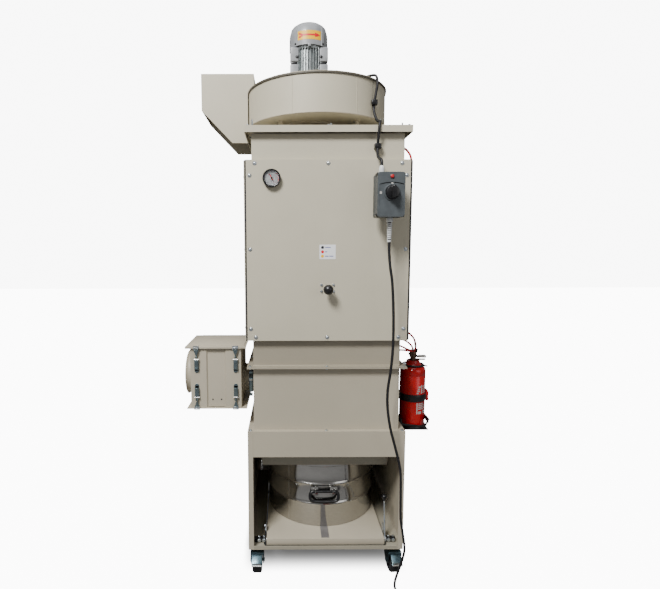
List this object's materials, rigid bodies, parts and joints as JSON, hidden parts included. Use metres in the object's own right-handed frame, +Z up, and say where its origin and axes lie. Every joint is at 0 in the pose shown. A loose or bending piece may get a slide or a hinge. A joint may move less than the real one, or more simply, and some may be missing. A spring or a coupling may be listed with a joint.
{
  "type": "dust collector",
  "caption": "Mobile industrial dust collector: wheeled base with lift-up drum, hopper, filter housing, top fan with vertical motor, side inlet box, switch box and extinguisher.",
  "frame": {"origin": "on the floor, under the middle of the machine's footprint, measured without the mains cord", "axes": "+X to the machine's right as seen from the front, -Y out of the front panel towards the user, +Z up"},
  "size_m": [1.07, 1.0072, 2.374],
  "materials": {
    "powder_coat": "satin",
    "zinc_plate": "satin",
    "stainless_steel": "polished",
    "cast_aluminium": "satin",
    "caster_rubber": "matt",
    "black_rubber": "matt",
    "black_plastic": "gloss",
    "grey_plastic": "satin",
    "white_plastic": "satin",
    "red_paint": "gloss",
    "red_plastic": "gloss",
    "filter_felt": "matt"
  },
  "bodies": {
    "cabinet": {"base_left_side": "powder_coat", "base_right_side": "powder_coat", "base_floor_and_back": "powder_coat", "base_deck": "powder_coat", "caster_front_left_plate": "zinc_plate", "caster_front_right_plate": "zinc_plate", "caster_rear_left_fork": "zinc_plate", "caster_rear_right_fork": "zinc_plate", "outlet_funnel": "powder_coat", "drum_seal": "black_rubber", "lower_hopper": "powder_coat", "upper_hopper": "powder_coat", "housing_shell": "powder_coat", "front_panel": "powder_coat", "panel_gasket": "black_rubber", "left_side_panel": "powder_coat", "right_side_panel": "powder_coat", "filter_plate": "zinc_plate", "filter_pack": "filter_felt", "neck": "powder_coat", "top_cover": "powder_coat", "fan_casing": "powder_coat", "fan_lid": "powder_coat", "exhaust_hood": "powder_coat", "motor_housing": "cast_aluminium", "fan_cowl": "cast_aluminium", "motor_cable": "black_rubber", "switch_box": "grey_plastic", "cord_gland": "white_plastic", "vacuum_gauge": "black_plastic", "inlet_box": "powder_coat", "extinguisher_bottle": "red_paint", "extinguisher_bracket": "black_plastic", "detection_tube": "red_plastic", "mains_cord": "black_rubber", "cord_coil": "black_rubber", "mains_plug": "red_plastic"},
    "front_left_swivel": {"caster_front_left_fork": "zinc_plate"},
    "front_left_roller": {"caster_front_left_wheel": "caster_rubber"},
    "front_left_pedal": {"caster_front_left_brake": "zinc_plate"},
    "front_right_swivel": {"caster_front_right_fork": "zinc_plate"},
    "front_right_roller": {"caster_front_right_wheel": "caster_rubber"},
    "front_right_pedal": {"caster_front_right_brake": "zinc_plate"},
    "rear_left_roller": {"caster_rear_left_wheel": "caster_rubber"},
    "rear_right_roller": {"caster_rear_right_wheel": "caster_rubber"},
    "platform": {"lift_platform": "powder_coat"},
    "lever": {"lift_lever": "zinc_plate"},
    "drum": {"dust_drum": "stainless_steel"},
    "handle": {"drum_handle": "black_plastic"},
    "rotor": {"impeller": "zinc_plate", "motor_shaft": "zinc_plate"},
    "shaker": {"shaker_rod": "black_plastic"},
    "switch": {"switch_knob": "black_plastic"},
    "needle": {"gauge_needle": "red_plastic"},
    "cover": {"inlet_cover": "powder_coat"},
    "latch_tl": {"latch_top_left": "zinc_plate"},
    "latch_tr": {"latch_top_right": "zinc_plate"},
    "latch_bl": {"latch_bottom_left": "zinc_plate"},
    "latch_br": {"latch_bottom_right": "zinc_plate"},
    "extinguisher_trigger": {"extinguisher_lever": "white_plastic"}
  },
  "joints": [
    {"name": "front_left_caster_swivel", "type": "hinge", "parent": "cabinet", "child": "front_left_swivel", "pos_m": [-0.23, -0.1905, 0.11], "axis": [0, 0, 1], "continuous": true},
    {"name": "front_left_wheel_roll", "type": "hinge", "parent": "front_left_swivel", "child": "front_left_roller", "pos_m": [-0.23, -0.2205, 0.05], "axis": [1, 0, 0], "continuous": true},
    {"name": "front_left_brake_pedal", "type": "hinge", "parent": "front_left_swivel", "child": "front_left_pedal", "pos_m": [-0.23, -0.2525, 0.096], "axis": [1, 0, 0], "range_deg": [0, 8], "stiffness_Nm_per_rad": 0.5, "springref_deg": -5.73},
    {"name": "front_right_caster_swivel", "type": "hinge", "parent": "cabinet", "child": "front_right_swivel", "pos_m": [0.352, -0.1905, 0.11], "axis": [0, 0, 1], "continuous": true},
    {"name": "front_right_wheel_roll", "type": "hinge", "parent": "front_right_swivel", "child": "front_right_roller", "pos_m": [0.35461, -0.22039, 0.05], "axis": [0.9962, 0.0872, 0], "continuous": true},
    {"name": "front_right_brake_pedal", "type": "hinge", "parent": "front_right_swivel", "child": "front_right_pedal", "pos_m": [0.3574, -0.25226, 0.096], "axis": [0.9962, 0.0872, 0], "range_deg": [0, 8], "stiffness_Nm_per_rad": 0.5, "springref_deg": -5.73},
    {"name": "rear_left_wheel_roll", "type": "hinge", "parent": "cabinet", "child": "rear_left_roller", "pos_m": [-0.23, 0.3445, 0.05], "axis": [1, 0, 0], "continuous": true},
    {"name": "rear_right_wheel_roll", "type": "hinge", "parent": "cabinet", "child": "rear_right_roller", "pos_m": [0.352, 0.3445, 0.05], "axis": [1, 0, 0], "continuous": true},
    {"name": "lift_lever_swing", "type": "hinge", "parent": "cabinet", "child": "lever", "pos_m": [0.061, -0.2205, 0.143], "axis": [1, 0, 0], "range_deg": [0, 75]},
    {"name": "platform_lift", "type": "slide", "parent": "cabinet", "child": "platform", "axis": [0, 0, 1], "range_m": [-0.008, 0]},
    {"name": "drum_slide_out", "type": "slide", "parent": "platform", "child": "drum", "axis": [0, -1, 0], "range_m": [0, 0.5]},
    {"name": "drum_handle_swing", "type": "hinge", "parent": "drum", "child": "handle", "pos_m": [0.061, -0.171, 0.33], "axis": [-1, 0, 0], "range_deg": [0, 85]},
    {"name": "fan_rotor_spin", "type": "hinge", "parent": "cabinet", "child": "rotor", "pos_m": [0, 0.0845, 2], "axis": [0, 0, 1], "continuous": true},
    {"name": "filter_shaker_pull", "type": "slide", "parent": "cabinet", "child": "shaker", "axis": [0, -1, 0], "range_m": [0, 0.04]},
    {"name": "main_switch_turn", "type": "hinge", "parent": "cabinet", "child": "switch", "pos_m": [0.281, -0.3955, 1.591], "axis": [0, 1, 0], "range_deg": [0, 90]},
    {"name": "gauge_needle_turn", "type": "hinge", "parent": "cabinet", "child": "needle", "pos_m": [-0.159, -0.2775, 1.66], "axis": [0, 1, 0], "range_deg": [-107, 163], "stiffness_Nm_per_rad": 0.001},
    {"name": "inlet_cover_lift_off", "type": "slide", "parent": "cabinet", "child": "cover", "axis": [0, -1, 0], "range_m": [0, 0.15]},
    {"name": "top_left_latch_open", "type": "hinge", "parent": "cover", "child": "latch_tl", "pos_m": [-0.4775, -0.2123, 0.8905], "axis": [1, 0, 0], "range_deg": [0, 100]},
    {"name": "top_right_latch_open", "type": "hinge", "parent": "cover", "child": "latch_tr", "pos_m": [-0.315, -0.2123, 0.8905], "axis": [1, 0, 0], "range_deg": [0, 100]},
    {"name": "bottom_left_latch_open", "type": "hinge", "parent": "cover", "child": "latch_bl", "pos_m": [-0.4775, -0.2123, 0.8105], "axis": [-1, 0, 0], "range_deg": [0, 100]},
    {"name": "bottom_right_latch_open", "type": "hinge", "parent": "cover", "child": "latch_br", "pos_m": [-0.315, -0.2123, 0.8105], "axis": [-1, 0, 0], "range_deg": [0, 100]},
    {"name": "extinguisher_lever_squeeze", "type": "hinge", "parent": "cabinet", "child": "extinguisher_trigger", "pos_m": [0.479, -0.0655, 0.9065], "axis": [0, 1, 0], "range_deg": [0, 5], "stiffness_Nm_per_rad": 0.3, "springref_deg": -5.73}
  ],
  "couplings": [
    {"joint": "lift_lever_swing", "follows": "platform_lift", "rad_per_m": -163.62}
  ]
}
